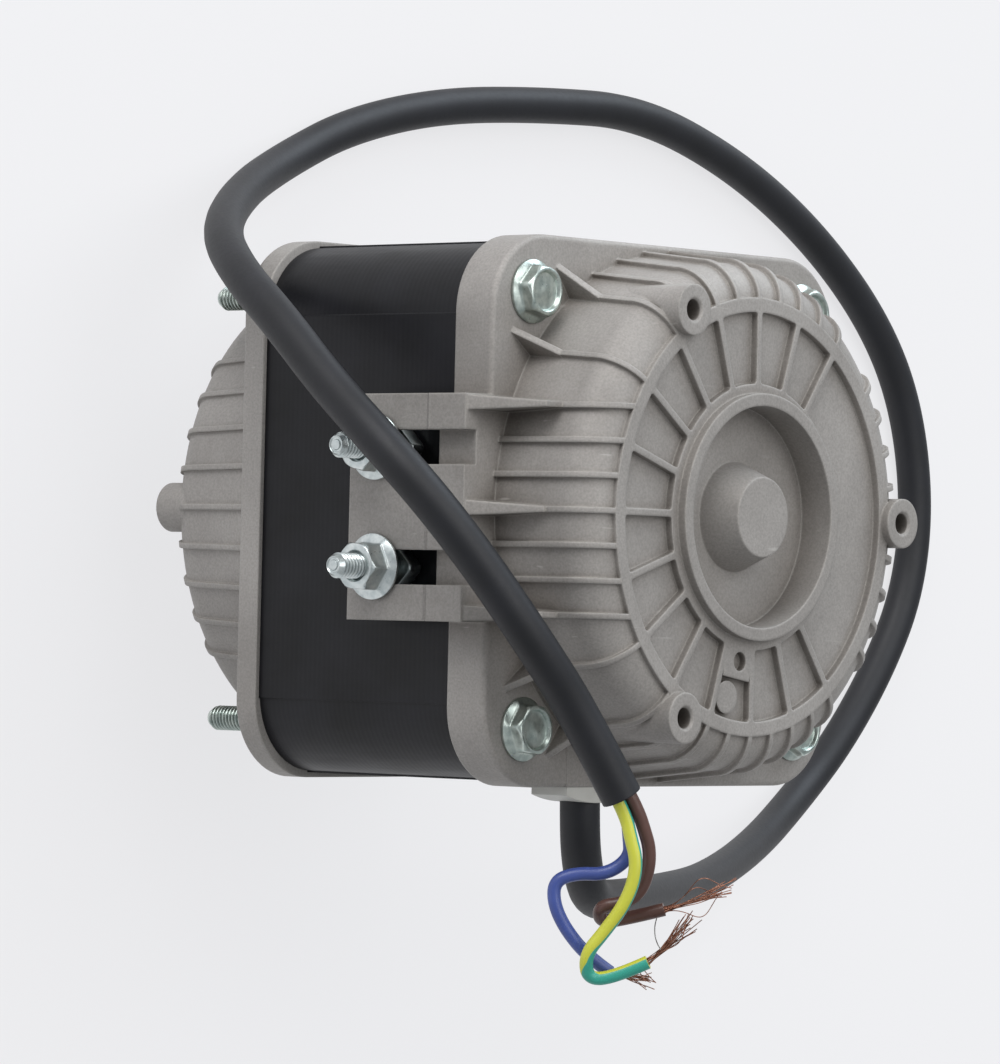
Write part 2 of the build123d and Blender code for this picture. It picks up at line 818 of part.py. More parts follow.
with BuildPart() as hub_screw:
    with BuildSketch(Plane((0, 0, 0.2))):
        Circle(across_flats / 2)
    extrude(amount=shaft_end_clear - 1.4)
    with BuildSketch(Plane((0, 0, 0.2))):
        RegularPolygon(1.5, 6, major_radius=False)
    extrude(amount=1.4, mode=Mode.SUBTRACT)
    with BuildSketch(Plane((0, 0, shaft_end_clear - 1.2))):
        Circle(thread / 2 - 0.02)
    extrude(amount=10)
hub_screw.part.label = "hub_screw"
export_step(hub_screw.part, "parts/hub_screw.step")


def flanged_hexagon(plane, height, flange_d):
    """A hexagon on a round flange, with its corners turned down at the top."""
    with BuildPart() as head:
        with BuildSketch(plane.offset(head_flange_thick * 0.6)):
            RegularPolygon(across_flats / 2, 6, major_radius=False)
        extrude(amount=height - head_flange_thick * 0.6)
        with BuildSketch(section_of(plane)):
            with BuildLine():
                Polyline(
                    (0, height),
                    (across_flats / 2 - 0.2, height),
                    (across_flats / 2 + 0.7, height - 0.6),
                    (across_flats / 2 + 0.7, 0),
                    (0, 0),
                    close=True,
                )
            make_face()
        revolve(axis=axis_of(plane), mode=Mode.INTERSECT)
        with BuildSketch(section_of(plane)):
            with BuildLine():
                Polyline(
                    (0, 0),
                    (flange_d / 2, 0),
                    (flange_d / 2, 0.5),
                    (across_flats / 2, head_flange_thick + 0.3),
                    (0, head_flange_thick + 0.3),
                    close=True,
                )
            make_face()
        revolve(axis=axis_of(plane))
    return head.part


def rod(plane, length, radius):
    """A plain stud with a turned-down tip, from the plane along its normal."""
    with BuildPart() as stud:
        with BuildSketch(plane):
            Circle(radius)
        extrude(amount=length)
        tip = stud.faces().sort_by(axis_of(plane))[-1]
        chamfer(tip.edges(), 0.6)
    return stud.part


screw_seat_z = stack_top + rear_flange
nut_seat_z = stack_bottom - front_flange
screw_tip_z = nut_seat_z - nut_height - screw_tip
corner_signs = [(sx, sy) for sx in (-1, 1) for sy in (-1, 1)]

with BuildPart() as through_screws:
    for sx, sy in corner_signs:
        spot = (sx * screw_half_pitch, sy * screw_half_pitch, screw_seat_z)
        add(flanged_hexagon(Plane(spot), head_height, head_flange))
        down = Plane(spot, x_dir=(1, 0, 0), z_dir=(0, 0, -1))
        add(rod(down, screw_seat_z - screw_tip_z, thread / 2))
through_screws.part.label = "through_screws"
export_step(through_screws.part, "parts/through_screws.step")

with BuildPart() as through_nuts:
    for sx, sy in corner_signs:
        spot = (sx * screw_half_pitch, sy * screw_half_pitch, nut_seat_z)
        down = Plane(spot, x_dir=(1, 0, 0), z_dir=(0, 0, -1))
        with BuildSketch(down):
            RegularPolygon(across_flats / 2, 6, major_radius=False)
            Circle(thread / 2, mode=Mode.SUBTRACT)
        extrude(amount=nut_height)
through_nuts.part.label = "through_nuts"
export_step(through_nuts.part, "parts/through_nuts.step")


def foot_bolt(x):
    """A square-headed bolt, its head in the cavity behind the foot's plate."""
    head_y = -(foot_face - foot_plate - slide_gap)
    facing = Plane((x, head_y, foot_bolt_z), x_dir=(1, 0, 0), z_dir=(0, -1, 0))
    shank = foot_face - foot_plate + slide_gap + foot_plate + foot_bolt_reach + head_y
    with BuildPart() as bolt:
        with BuildSketch(facing.offset(-foot_bolt_head)):
            RectangleRounded(across_flats, across_flats, 0.8)
        extrude(amount=foot_bolt_head)
        add(rod(facing, shank, thread / 2))
    return bolt.part


def foot_nut(x):
    """The flange nut that clamps a bolt to the foot's outer face."""
    face_y = -(foot_face + slide_gap)
    facing = Plane((x, face_y, foot_bolt_z), x_dir=(1, 0, 0), z_dir=(0, -1, 0))
    with BuildPart() as nut:
        add(flanged_hexagon(facing, foot_nut_height, foot_nut_flange))
        with BuildSketch(facing):
            Circle(thread / 2)
        extrude(amount=foot_nut_height, mode=Mode.SUBTRACT)
    return nut.part


for side, x in (("left", -foot_slot_x), ("right", foot_slot_x)):
    for make, name in ((foot_bolt, "foot_bolt"), (foot_nut, "foot_nut")):
        piece = make(x)
        piece.label = f"{name}_{side}"
        export_step(piece, f"parts/{name}_{side}.step")

grommet_face = flange_half + grommet_stand
with BuildPart() as cable_grommet:
    half_width = grommet_width / 2 - grommet_clear
    with BuildSketch(Plane((0, 0, stack_top + grommet_clear))):
        with BuildLine():
            front = ThreePointArc(
                (grommet_face, grommet_y - half_width),
                (grommet_face + grommet_crown, grommet_y),
                (grommet_face, grommet_y + half_width),
            )
            Polyline(
                front @ 1,
                (flange_half - grommet_depth, grommet_y + half_width),
                (flange_half - grommet_depth, grommet_y - half_width),
                front @ 0,
            )
        make_face()
    extrude(amount=rear_flange - 2 * grommet_clear)
    with BuildSketch(Plane((flange_half - grommet_depth, grommet_y, lead_z), x_dir=(0, 1, 0), z_dir=(1, 0, 0))):
        Circle(sheath_d / 2)
    extrude(amount=grommet_depth + grommet_stand + grommet_crown + 1, mode=Mode.SUBTRACT)
cable_grommet.part.label = "cable_grommet"
export_step(cable_grommet.part, "parts/cable_grommet.step")

# The lead: out of the grommet, back and down to the floor, round behind the motor and up over the foot
cord_route = [
    (36.7, -15.0, 88.05),
    (48.8, -15.0, 88.05),
    (56.6, -11.2, 85.8),
    (61.4, -4.2, 81.9),
    (62.2, 11.5, 72.8),
    (62.6, 41.5, 57.0),
    (62.4, 84.4, 34.0),
    (57.6, 123.6, 14.0),
    (49.6, 147.7, 4.5),
    (38.6, 162.8, 3.2),
    (23.9, 175.5, 3.2),
    (9.4, 183.8, 3.2),
    (-7.9, 186.1, 3.2),
    (-27.0, 181.5, 3.2),
    (-42.1, 170.5, 3.2),
    (-56.7, 151.3, 3.2),
    (-68.2, 127.6, 3.2),
    (-75.8, 99.5, 3.2),
    (-74.9, 71.4, 3.2),
    (-72.6, 44.4, 3.2),
    (-67.3, 21.1, 3.3),
    (-59.9, 2.9, 5.0),
    (-52.7, -18.7, 15.0),
    (-44.3, -41.5, 31.8),
    (-36.5, -53.3, 47.7),
    (-28.6, -58.0, 61.1),
    (-18.6, -60.7, 73.8),
    (-9.4, -62.7, 86.9),
    (-0.5, -59.5, 94.9),
    (9.3, -53.3, 99.9),
    (20.0, -46.4, 104.0),
    (31.0, -36.3, 105.2),
    (43.9, -29.7, 108.7),
]
earth_route = [
    (44.5, -30.8, 108.9),
    (47.1, -29.5, 109.6),
    (50.2, -29.3, 110.4),
    (53.6, -29.0, 111.4),
    (57.3, -29.2, 111.0),
    (61.0, -30.2, 109.7),
    (64.7, -31.7, 107.5),
    (68.2, -33.8, 105.6),
    (72.1, -32.4, 104.9),
    (71.7, -29.7, 108.1),
    (69.2, -26.9, 112.4),
]
live_route = [
    (43.4, -29.1, 109.7),
    (46.0, -27.7, 110.4),
    (49.0, -26.4, 110.7),
    (51.8, -25.3, 110.9),
    (55.0, -25.0, 110.6),
    (58.5, -25.4, 109.5),
    (60.4, -27.2, 107.6),
    (60.9, -29.5, 104.6),
    (63.5, -27.3, 102.9),
    (63.0, -24.6, 105.6),
    (61.3, -21.1, 110.7),
]
neutral_route = [
    (44.0, -29.1, 107.6),
    (46.6, -27.8, 108.3),
    (50.0, -26.8, 108.0),
    (53.3, -26.5, 108.1),
    (56.0, -29.0, 105.6),
    (55.9, -32.5, 102.1),
    (57.2, -34.8, 99.8),
    (60.8, -34.7, 99.8),
    (64.7, -33.2, 101.1),
    (68.7, -30.7, 103.5),
    (71.1, -28.2, 106.0),
]
earth_strand_length = 8.0
live_strand_length = 10.0
neutral_strand_length = 6.5


def corner_radii(route):
    """The arc at each inner point: as large as its two runs allow."""
    points = [Vector(*p) for p in route]
    radii = []
    for before, here, after in zip(points, points[1:], points[2:]):
        turn = (here - before).get_angle(after - here)
        shorter = min((here - before).length, (after - here).length)
        radii.append(0.45 * shorter / tan(radians(turn) / 2))
    return radii


def tube(name, route, diameter):
    """A round lead along its route."""
    radii = corner_radii(route)
    path = FilletPolyline(*route, radius=radii)
    start = Plane(origin=path @ 0, z_dir=path % 0)
    with BuildPart() as lead:
        with BuildSketch(start):
            Circle(diameter / 2)
        sweep(path=path)
    expected = pi * diameter**2 / 4 * path.length
    print(name, "length", round(path.length, 1), "volume ratio", round(lead.part.volume / expected, 4))
    print(name, "radii", [round(r, 1) for r in radii])
    return lead.part


def strands(route, length):
    """Bared wire ends, spreading a little from where the insulation stops."""
    start = Vector(*route[-1])
    plane = Plane(origin=start, z_dir=start - Vector(*route[-2]))
    with BuildPart() as bundle:
        with BuildSketch(plane):
            Circle(strand_r)
        with BuildSketch(plane.offset(length)):
            Circle(strand_spread)
        loft()
    return bundle.part


leads = [("power_cord", cord_route, sheath_d)]
cores = (
    ("earth", earth_route, earth_strand_length),
    ("live", live_route, live_strand_length),
    ("neutral", neutral_route, neutral_strand_length),
)
for name, route, bared in cores:
    leads.append((f"{name}_conductor", route, core_d))
    piece = strands(route, bared)
    piece.label = f"{name}_strands"
    export_step(piece, f"parts/{name}_strands.step")
for name, route, diameter in leads:
    piece = tube(name, route, diameter)
    piece.label = name
    export_step(piece, f"parts/{name}.step")
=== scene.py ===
"""Looks of the square-frame fan motor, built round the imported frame, in metres.

The shaft runs along Z with the fan hub down on the floor, the foot faces -Y and the lead leaves towards +X.
"""

import random
from math import atan2, cos, pi, radians, sin, tau

import bmesh
import bpy
import numpy as np
from mathutils import Matrix, Vector


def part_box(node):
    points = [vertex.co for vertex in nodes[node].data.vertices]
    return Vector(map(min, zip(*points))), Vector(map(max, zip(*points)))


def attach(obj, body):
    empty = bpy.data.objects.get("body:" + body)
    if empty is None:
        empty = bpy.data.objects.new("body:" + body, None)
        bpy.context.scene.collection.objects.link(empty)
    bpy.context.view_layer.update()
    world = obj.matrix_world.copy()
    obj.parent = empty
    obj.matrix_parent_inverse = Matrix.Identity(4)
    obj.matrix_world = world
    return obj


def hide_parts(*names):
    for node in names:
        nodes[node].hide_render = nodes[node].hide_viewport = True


MM = 0.001

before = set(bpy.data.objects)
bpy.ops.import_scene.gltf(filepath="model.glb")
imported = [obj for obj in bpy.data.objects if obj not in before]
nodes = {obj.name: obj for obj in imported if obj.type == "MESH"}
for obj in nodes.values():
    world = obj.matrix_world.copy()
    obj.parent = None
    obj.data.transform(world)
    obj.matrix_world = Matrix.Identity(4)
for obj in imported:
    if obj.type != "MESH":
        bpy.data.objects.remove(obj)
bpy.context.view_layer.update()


# Camera, as the photograph was taken
CAMERA_PLACE = (0.01792, -0.75289, 0.70278)
CAMERA_RIGHT = (-0.0233, 0.6504, 0.7592)
CAMERA_UP = (-0.9996, -0.0268, -0.0078)
CAMERA_BACK = (0.0153, -0.7591, 0.6508)
CAMERA_LENS = 205.66
CAMERA_SENSOR = 36.0


def add_camera():
    """The camera at the photograph's viewing angle."""
    data = bpy.data.cameras.new("camera")
    data.lens = CAMERA_LENS
    data.sensor_width = CAMERA_SENSOR
    data.clip_start = 0.01
    camera = bpy.data.objects.new("camera", data)
    turn = Matrix((CAMERA_RIGHT, CAMERA_UP, CAMERA_BACK)).transposed()
    camera.matrix_world = Matrix.Translation(CAMERA_PLACE) @ turn.normalized().to_4x4()
    bpy.context.scene.collection.objects.link(camera)
    bpy.context.scene.camera = camera


# Materials
def linear(red, green, blue):
    """A colour as it is seen, in steps of 255, for a shader."""
    def channel(c):
        c = c / 255
        return c / 12.92 if c <= 0.04045 else ((c + 0.055) / 1.055) ** 2.4

    return (channel(red), channel(green), channel(blue), 1.0)


class Shader:
    """A material with a Principled shader and short calls for the nodes that feed it."""

    def __init__(self, name, roughness=0.5, metallic=0.0):
        self.material = bpy.data.materials.new(name)
        self.material.use_nodes = True
        self.tree = self.material.node_tree
        self.bsdf = self.tree.nodes["Principled BSDF"]
        self.bsdf.inputs["Roughness"].default_value = roughness
        self.bsdf.inputs["Metallic"].default_value = metallic
        self.place = self.tree.nodes.new("ShaderNodeTexCoord").outputs["Object"]

    def link(self, out, into):
        self.tree.links.new(out, into)

    def node(self, kind, **settings):
        made = self.tree.nodes.new(kind)
        for key, value in settings.items():
            setattr(made, key, value)
        return made

    def noise(self, scale, detail=3.0, rough=0.55, stretch=(1, 1, 1)):
        mapping = self.node("ShaderNodeMapping")
        mapping.inputs["Scale"].default_value = stretch
        self.link(self.place, mapping.inputs["Vector"])
        noise = self.node("ShaderNodeTexNoise")
        noise.inputs["Scale"].default_value = scale
        noise.inputs["Detail"].default_value = detail
        noise.inputs["Roughness"].default_value = rough
        self.link(mapping.outputs["Vector"], noise.inputs["Vector"])
        return noise.outputs["Fac"]

    def ramp(self, factor, stops):
        ramp = self.node("ShaderNodeValToRGB")
        elements = ramp.color_ramp.elements
        while len(elements) < len(stops):
            elements.new(0.5)
        for element, (position, colour) in zip(elements, stops):
            element.position = position
            element.color = colour
        self.link(factor, ramp.inputs["Fac"])
        return ramp.outputs["Color"]

    def mix(self, factor, first, second, blend="MIX"):
        mix = self.node("ShaderNodeMix", data_type="RGBA", blend_type=blend)
        for socket, value in ((0, factor), (6, first), (7, second)):
            if isinstance(value, (float, int, tuple)):
                mix.inputs[socket].default_value = value
            else:
                self.link(value, mix.inputs[socket])
        return mix.outputs[2]

    def math(self, operation, first, second=0.0):
        maths = self.node("ShaderNodeMath", operation=operation)
        for socket, value in enumerate((first, second)):
            if isinstance(value, (float, int)):
                maths.inputs[socket].default_value = value
            else:
                self.link(value, maths.inputs[socket])
        return maths.outputs["Value"]

    def spread(self, factor, low, high):
        """A factor from 0 to 1 brought to lie between two values."""
        ranged = self.node("ShaderNodeMapRange")
        ranged.inputs["To Min"].default_value = low
        ranged.inputs["To Max"].default_value = high
        self.link(factor, ranged.inputs["Value"])
        return ranged.outputs["Result"]

    def colour(self, out):
        self.link(out, self.bsdf.inputs["Base Color"])

    def roughness(self, out):
        self.link(out, self.bsdf.inputs["Roughness"])

    def bump(self, height, distance, strength=1.0, under=None):
        bump = self.node("ShaderNodeBump")
        bump.inputs["Strength"].default_value = strength
        bump.inputs["Distance"].default_value = distance
        self.link(height, bump.inputs["Height"])
        if under is not None:
            self.link(under, bump.inputs["Normal"])
        return bump.outputs["Normal"]

    def rounded(self, radius):
        bevel = self.node("ShaderNodeBevel", samples=6)
        bevel.inputs["Radius"].default_value = radius
        return bevel.outputs["Normal"]

    def edges(self, normal):
        """How far a rounded normal leans from the flat one: 0 on faces, more at edges."""
        geometry = self.node("ShaderNodeNewGeometry")
        dot = self.node("ShaderNodeVectorMath", operation="DOT_PRODUCT")
        self.link(normal, dot.inputs[0])
        self.link(geometry.outputs["Normal"], dot.inputs[1])
        return self.math("SUBTRACT", 1.0, dot.outputs["Value"])

    def creases(self, reach):
        """How open a place is within its own piece: 0 deep in a crease, 1 on an open face."""
        hidden = self.node("ShaderNodeAmbientOcclusion", samples=8, only_local=True)
        hidden.inputs["Distance"].default_value = reach
        return hidden.outputs["AO"]

    def near_level(self, axis, level, half_width):
        """1 on one level of an axis, falling to 0 at half a width away."""
        parts = self.node("ShaderNodeSeparateXYZ")
        self.link(self.place, parts.inputs["Vector"])
        distance = self.math("ABSOLUTE", self.math("SUBTRACT", parts.outputs[axis], level))
        share = self.math("DIVIDE", distance, half_width)
        return self.math("MAXIMUM", 0.0, self.math("SUBTRACT", 1.0, share))

    def below(self, axis, level):
        """1 where a place lies below a level of an axis, else 0."""
        parts = self.node("ShaderNodeSeparateXYZ")
        self.link(self.place, parts.inputs["Vector"])
        return self.math("LESS_THAN", parts.outputs[axis], level)

    def normal(self, out):
        self.link(out, self.bsdf.inputs["Normal"])


def cast_aluminium(name, dark, light, parting=None):
    """Die-cast aluminium: dull grey with a fine grain, with painted brown shade in its creases, and lighter
    at its edges, partly from wear and partly as a painted highlight.

    A parting is the height of the mould's seam and the Y below which it shows.
    """
    s = Shader(name, metallic=0.3)
    grain = s.noise(2600, 2, 0.6)
    base = s.ramp(s.noise(38, 5, 0.6), [(0.32, dark), (0.7, light)])
    speck = s.ramp(grain, [(0.28, (0.84, 0.84, 0.84, 1)), (0.66, (1.06, 1.06, 1.06, 1))])
    tone = s.mix(1.0, base, speck, "MULTIPLY")
    # Painted shade: the colour turns darker and browner where a place is hemmed in by its own piece, in
    # creases and pockets
    painted_crease_shade_stops = [(0.25, (0.44, 0.41, 0.38, 1)), (0.55, (0.88, 0.865, 0.85, 1)), (0.88, (1, 1, 1, 1))]
    shade = s.ramp(s.creases(7 * MM), painted_crease_shade_stops)
    tone = s.mix(1.0, tone, shade, "MULTIPLY")
    soft = s.rounded(0.55 * MM)
    # Lighter towards every edge: partly wear and partly a painted highlight
    edge_wear_and_highlight = s.math("MULTIPLY", s.edges(soft), 0.75)
    streaks = s.noise(900, 2, 0.5, (1, 0.06, 0.25))
    scuffs = s.ramp(streaks, [(0.72, (0, 0, 0, 1)), (0.78, (0.35, 0.35, 0.35, 1))])
    worn_and_highlit = s.mix(edge_wear_and_highlight, tone, linear(206, 202, 195))
    s.colour(s.mix(scuffs, worn_and_highlit, linear(196, 193, 188)))
    s.roughness(s.spread(s.noise(300, 3), 0.54, 0.7))
    lumps = s.bump(s.noise(240, 3), 0.2 * MM, 0.3, soft)
    fine = s.bump(grain, 0.04 * MM, 0.45, lumps)
    if parting is not None:
        seam_height, shown_below = parting
        seam = s.math("MULTIPLY", s.near_level("Z", seam_height, 0.35 * MM), s.below("Y", shown_below))
        fine = s.bump(seam, 0.3 * MM, 0.9, fine)
    s.normal(fine)
    return s.material


SHEET_THICKNESS = 0.5 * MM


def black_laminations():
    """Black-varnished steel sheets, half a millimetre each, stacked along the shaft."""
    s = Shader("black_laminations")
    s.bsdf.inputs["Specular IOR Level"].default_value = 0.28
    sheets = s.node("ShaderNodeTexWave", wave_type="BANDS", bands_direction="Z")
    sheets.inputs["Scale"].default_value = pi / (20 * SHEET_THICKNESS)
    sheets.inputs["Distortion"].default_value = 0.4
    s.link(s.place, sheets.inputs["Vector"])
    s.colour(s.ramp(s.noise(90, 3), [(0.3, linear(11, 11, 14)), (0.75, linear(23, 23, 28))]))
    s.roughness(s.spread(s.noise(500, 3, 0.6, (1, 1, 0.2)), 0.34, 0.52))
    soft = s.rounded(0.3 * MM)
    fine = s.bump(sheets.outputs["Fac"], 0.02 * MM, 0.4, soft)
    s.normal(s.bump(s.noise(700, 3), 0.03 * MM, 0.5, fine))
    return s.material


def plated_steel(name="zinc_steel", dark=linear(182, 192, 193), light=linear(222, 228, 227)):
    """Bright zinc plate, bluish, with the faint mottle of the bath, and painted shade that darkens its
    grooves and hollows.
    """
    s = Shader(name, metallic=1.0)
    bath = s.ramp(s.noise(700, 3), [(0.3, dark), (0.7, light)])
    # Painted shade: nearly black where a place is hemmed in by its own piece, as in the thread grooves
    painted_groove_shade = s.ramp(s.creases(0.7 * MM), [(0.35, (0.1, 0.11, 0.11, 1)), (0.75, (1, 1, 1, 1))])
    s.colour(s.mix(1.0, bath, painted_groove_shade, "MULTIPLY"))
    s.roughness(s.spread(s.noise(1500, 2), 0.22, 0.4))
    soft = s.rounded(0.12 * MM)
    s.normal(s.bump(s.noise(2200, 2), 0.01 * MM, 0.6, soft))
    return s.material


def moulded(name, dark, light, roughness, grain=900, specular=0.5):
    """A moulded plastic or rubber with a fine dull grain."""
    s = Shader(name)
    s.bsdf.inputs["Specular IOR Level"].default_value = specular
    s.colour(s.ramp(s.noise(120, 3), [(0.3, dark), (0.7, light)]))
    s.roughness(s.spread(s.noise(grain, 2), roughness - 0.06, roughness + 0.06))
    s.normal(s.bump(s.noise(grain, 3), 0.03 * MM, 0.4, s.rounded(0.25 * MM)))
    return s.material


def metal(name, dark, light, roughness, scale=500):
    """Bare metal with a faint mottle."""
    s = Shader(name, metallic=1.0)
    s.colour(s.ramp(s.noise(scale, 3), [(0.3, dark), (0.7, light)]))
    s.roughness(s.spread(s.noise(3 * scale, 2), roughness - 0.08, roughness + 0.08))
    return s.material


def striped(name, first, second):
    """Two colours in long stripes round a core, whose own UV runs round it from the first one's middle."""
    s = Shader(name)
    uv = s.node("ShaderNodeUVMap", uv_map="lay")
    parts = s.node("ShaderNodeSeparateXYZ")
    s.link(uv.outputs["UV"], parts.inputs["Vector"])
    turn = s.math("FRACT", parts.outputs["X"])
    step = s.ramp(turn, [(0.26, first), (0.28, second), (0.72, second), (0.74, first)])
    s.colour(s.mix(s.spread(s.noise(400, 3), 0.0, 0.22), step, (0.75, 0.75, 0.75, 1), "SOFT_LIGHT"))
    s.roughness(s.spread(s.noise(900, 2), 0.32, 0.44))
    s.normal(s.bump(s.noise(900, 2), 0.02 * MM, 0.3))
    return s.material


CAST_SHADES = (linear(138, 134, 130), linear(160, 156, 152))
SEAM_HEIGHT = 84.3 * MM
SEAM_SHOWN_BELOW = -48.5 * MM
CAST_FACE = cast_aluminium("cast_aluminium", *CAST_SHADES)
CAST_REAR = cast_aluminium("cast_aluminium_rear", *CAST_SHADES, parting=(SEAM_HEIGHT, SEAM_SHOWN_BELOW))
LAMINATIONS = black_laminations()
ZINC = plated_steel()
HEAD_ZINC = plated_steel("zinc_steel_heads", linear(158, 171, 166), linear(208, 217, 210))
GREY_PLASTIC = moulded("grey_plastic", linear(178, 177, 171), linear(190, 189, 183), 0.5)
SHEATH = moulded("black_sheath", linear(12, 13, 18), linear(20, 21, 27), 0.54, 1400, specular=0.45)
BROWN = moulded("brown_insulation", linear(68, 44, 37), linear(92, 62, 54), 0.36)
BLUE = moulded("blue_insulation", linear(46, 62, 124), linear(66, 84, 152), 0.36)
EARTH = striped("earth_insulation", linear(184, 186, 58), linear(46, 146, 128))
COPPER = metal("bare_copper", linear(112, 74, 60), linear(172, 126, 106), 0.38, 900)
TINNED = metal("tinned_wire", linear(120, 116, 112), linear(168, 164, 160), 0.38, 900)
SHADING_COPPER = metal("shading_copper", linear(150, 92, 72), linear(206, 150, 122), 0.35, 900)
WINDING = metal("enamelled_wire", linear(120, 50, 26), linear(170, 84, 46), 0.3)
WHITE_PLASTIC = moulded("white_plastic", linear(214, 213, 205), linear(226, 225, 218), 0.5)
ROTOR_STEEL = metal("rotor_steel", linear(96, 94, 92), linear(140, 137, 132), 0.4)
GROUND_STEEL = metal("ground_steel", linear(180, 180, 180), linear(206, 206, 206), 0.25)
BRONZE = metal("sintered_bronze", linear(140, 108, 62), linear(176, 140, 88), 0.5)
FELT = moulded("oil_felt", linear(186, 172, 132), linear(206, 194, 158), 0.9, 2500)
TURNED = metal("hub_aluminium", linear(158, 158, 157), linear(184, 184, 182), 0.38, 300)

NODE_MATERIALS = {
    "rear_cover": CAST_REAR,
    "front_cover": CAST_FACE,
    "stator_core": LAMINATIONS,
    "cable_grommet": GREY_PLASTIC,
    "rotor_core": ROTOR_STEEL,
    "rotor_cage": CAST_FACE,
    "shaft": GROUND_STEEL,
    "front_spacer": GROUND_STEEL,
    "rear_spacer": GROUND_STEEL,
    "front_bearing": BRONZE,
    "rear_bearing": BRONZE,
    "front_retainer": ZINC,
    "rear_retainer": ZINC,
    "front_felt": FELT,
    "rear_felt": FELT,
    "fan_hub": TURNED,
    "hub_screw": ZINC,
    "through_screws": ZINC,
    "through_nuts": ZINC,
    "foot_bolt_left": ZINC,
    "foot_bolt_right": ZINC,
    "foot_nut_left": ZINC,
    "foot_nut_right": ZINC,
}
for number in range(1, 5):
    NODE_MATERIALS[f"coil_{number}"] = WINDING
    NODE_MATERIALS[f"bobbin_{number}"] = WHITE_PLASTIC
    NODE_MATERIALS[f"shading_ring_{number}"] = SHADING_COPPER
for node_name, finish in NODE_MATERIALS.items():
    nodes[node_name].data.materials.clear()
    nodes[node_name].data.materials.append(finish)


# Pieces made of meshes
def add_mesh(name, bm, material, smooth=True):
    """A new object from a finished bmesh, which is freed."""
    bmesh.ops.recalc_face_normals(bm, faces=bm.faces)
    data = bpy.data.meshes.new(name)
    bm.to_mesh(data)
    bm.free()
    for polygon in data.polygons:
        polygon.use_smooth = smooth
    data.materials.append(material)
    piece = bpy.data.objects.new(name, data)
    bpy.context.scene.collection.objects.link(piece)
    return piece


def sharpen(piece, degrees=35):
    """Smooth shading with the edges above an angle kept crisp."""
    piece.data.set_sharp_from_angle(angle=radians(degrees))


def grid(bm, rows):
    """Skins equal closed rings of points, one after another."""
    rings = [[bm.verts.new(p) for p in row] for row in rows]
    count = len(rings[0])
    for low, high in zip(rings, rings[1:]):
        for i in range(count):
            j = (i + 1) % count
            bm.faces.new((low[i], low[j], high[j], high[i]))
    return rings


# Leads
CORD_ROUTE = [
    (36.7, -15.0, 88.05),
    (48.8, -15.0, 88.05),
    (56.6, -11.2, 85.8),
    (61.4, -4.2, 81.9),
    (62.2, 11.5, 72.8),
    (62.6, 41.5, 57.0),
    (62.4, 84.4, 34.0),
    (57.6, 123.6, 14.0),
    (49.6, 147.7, 4.5),
    (38.6, 162.8, 3.2),
    (23.9, 175.5, 3.2),
    (9.4, 183.8, 3.2),
    (-7.9, 186.1, 3.2),
    (-27.0, 181.5, 3.2),
    (-42.1, 170.5, 3.2),
    (-56.7, 151.3, 3.2),
    (-68.2, 127.6, 3.2),
    (-75.8, 99.5, 3.2),
    (-74.9, 71.4, 3.2),
    (-72.6, 44.4, 3.2),
    (-67.3, 21.1, 3.3),
    (-59.9, 2.9, 5.0),
    (-52.7, -18.7, 15.0),
    (-44.3, -41.5, 31.8),
    (-36.5, -53.3, 47.7),
    (-28.6, -58.0, 61.1),
    (-18.6, -60.7, 73.8),
    (-9.4, -62.7, 86.9),
    (-0.5, -59.5, 94.9),
    (9.3, -53.3, 99.9),
    (20.0, -46.4, 104.0),
    (31.0, -36.3, 105.2),
    (43.9, -29.7, 108.7),
]
EARTH_ROUTE = [
    (44.5, -30.8, 108.9),
    (47.1, -29.5, 109.6),
    (50.2, -29.3, 110.4),
    (53.6, -29.0, 111.4),
    (57.3, -29.2, 111.0),
    (61.0, -30.2, 109.7),
    (64.7, -31.7, 107.5),
    (68.2, -33.8, 105.6),
    (72.1, -32.4, 104.9),
    (71.7, -29.7, 108.1),
    (69.2, -26.9, 112.4),
]
LIVE_ROUTE = [
    (43.4, -29.1, 109.7),
    (46.0, -27.7, 110.4),
    (49.0, -26.4, 110.7),
    (51.8, -25.3, 110.9),
    (55.0, -25.0, 110.6),
    (58.5, -25.4, 109.5),
    (60.4, -27.2, 107.6),
    (60.9, -29.5, 104.6),
    (63.5, -27.3, 102.9),
    (63.0, -24.6, 105.6),
    (61.3, -21.1, 110.7),
]
NEUTRAL_ROUTE = [
    (44.0, -29.1, 107.6),
    (46.6, -27.8, 108.3),
    (50.0, -26.8, 108.0),
    (53.3, -26.5, 108.1),
    (56.0, -29.0, 105.6),
    (55.9, -32.5, 102.1),
    (57.2, -34.8, 99.8),
    (60.8, -34.7, 99.8),
    (64.7, -33.2, 101.1),
    (68.7, -30.7, 103.5),
    (71.1, -28.2, 106.0),
]
CORD_DIAMETER = 6.4 * MM
CORE_DIAMETER = 2.1 * MM
# Share of the earth core's way, and the angle in degrees from the camera to the first stripe's middle
EARTH_LAY = ((0, 50), (0.5, 46), (0.66, 58), (0.75, 95), (0.81, 180), (0.88, 222), (1, 226))
PLAIN_LAY = ((0, 0), (1, 0))
WIRE_RADIUS = 0.075 * MM
STRAY_WIRE_RADIUS = 0.09 * MM
BUNDLE_RADIUS = 0.62 * MM
TUFTS = 3
TUFT_SPREAD = 2.0 * MM
WIRE_STEPS = 8
# Each bundle's sweep along the picture's sides, number of wires, random seed and curls, in millimetres
EARTH_WIRES = ((6.4, 7.2, -1.2), 20, 3, (2.6, -2.2))
LIVE_WIRES = ((10.6, 2.6, -1.2), 20, 5, (3.4, -2.8, 2.6))
NEUTRAL_WIRES = ((6.6, -0.6, -0.5), 17, 8, (3.0, -2.8, 2.4))


def in_metres(route):
    return [Vector(point) * MM for point in route]


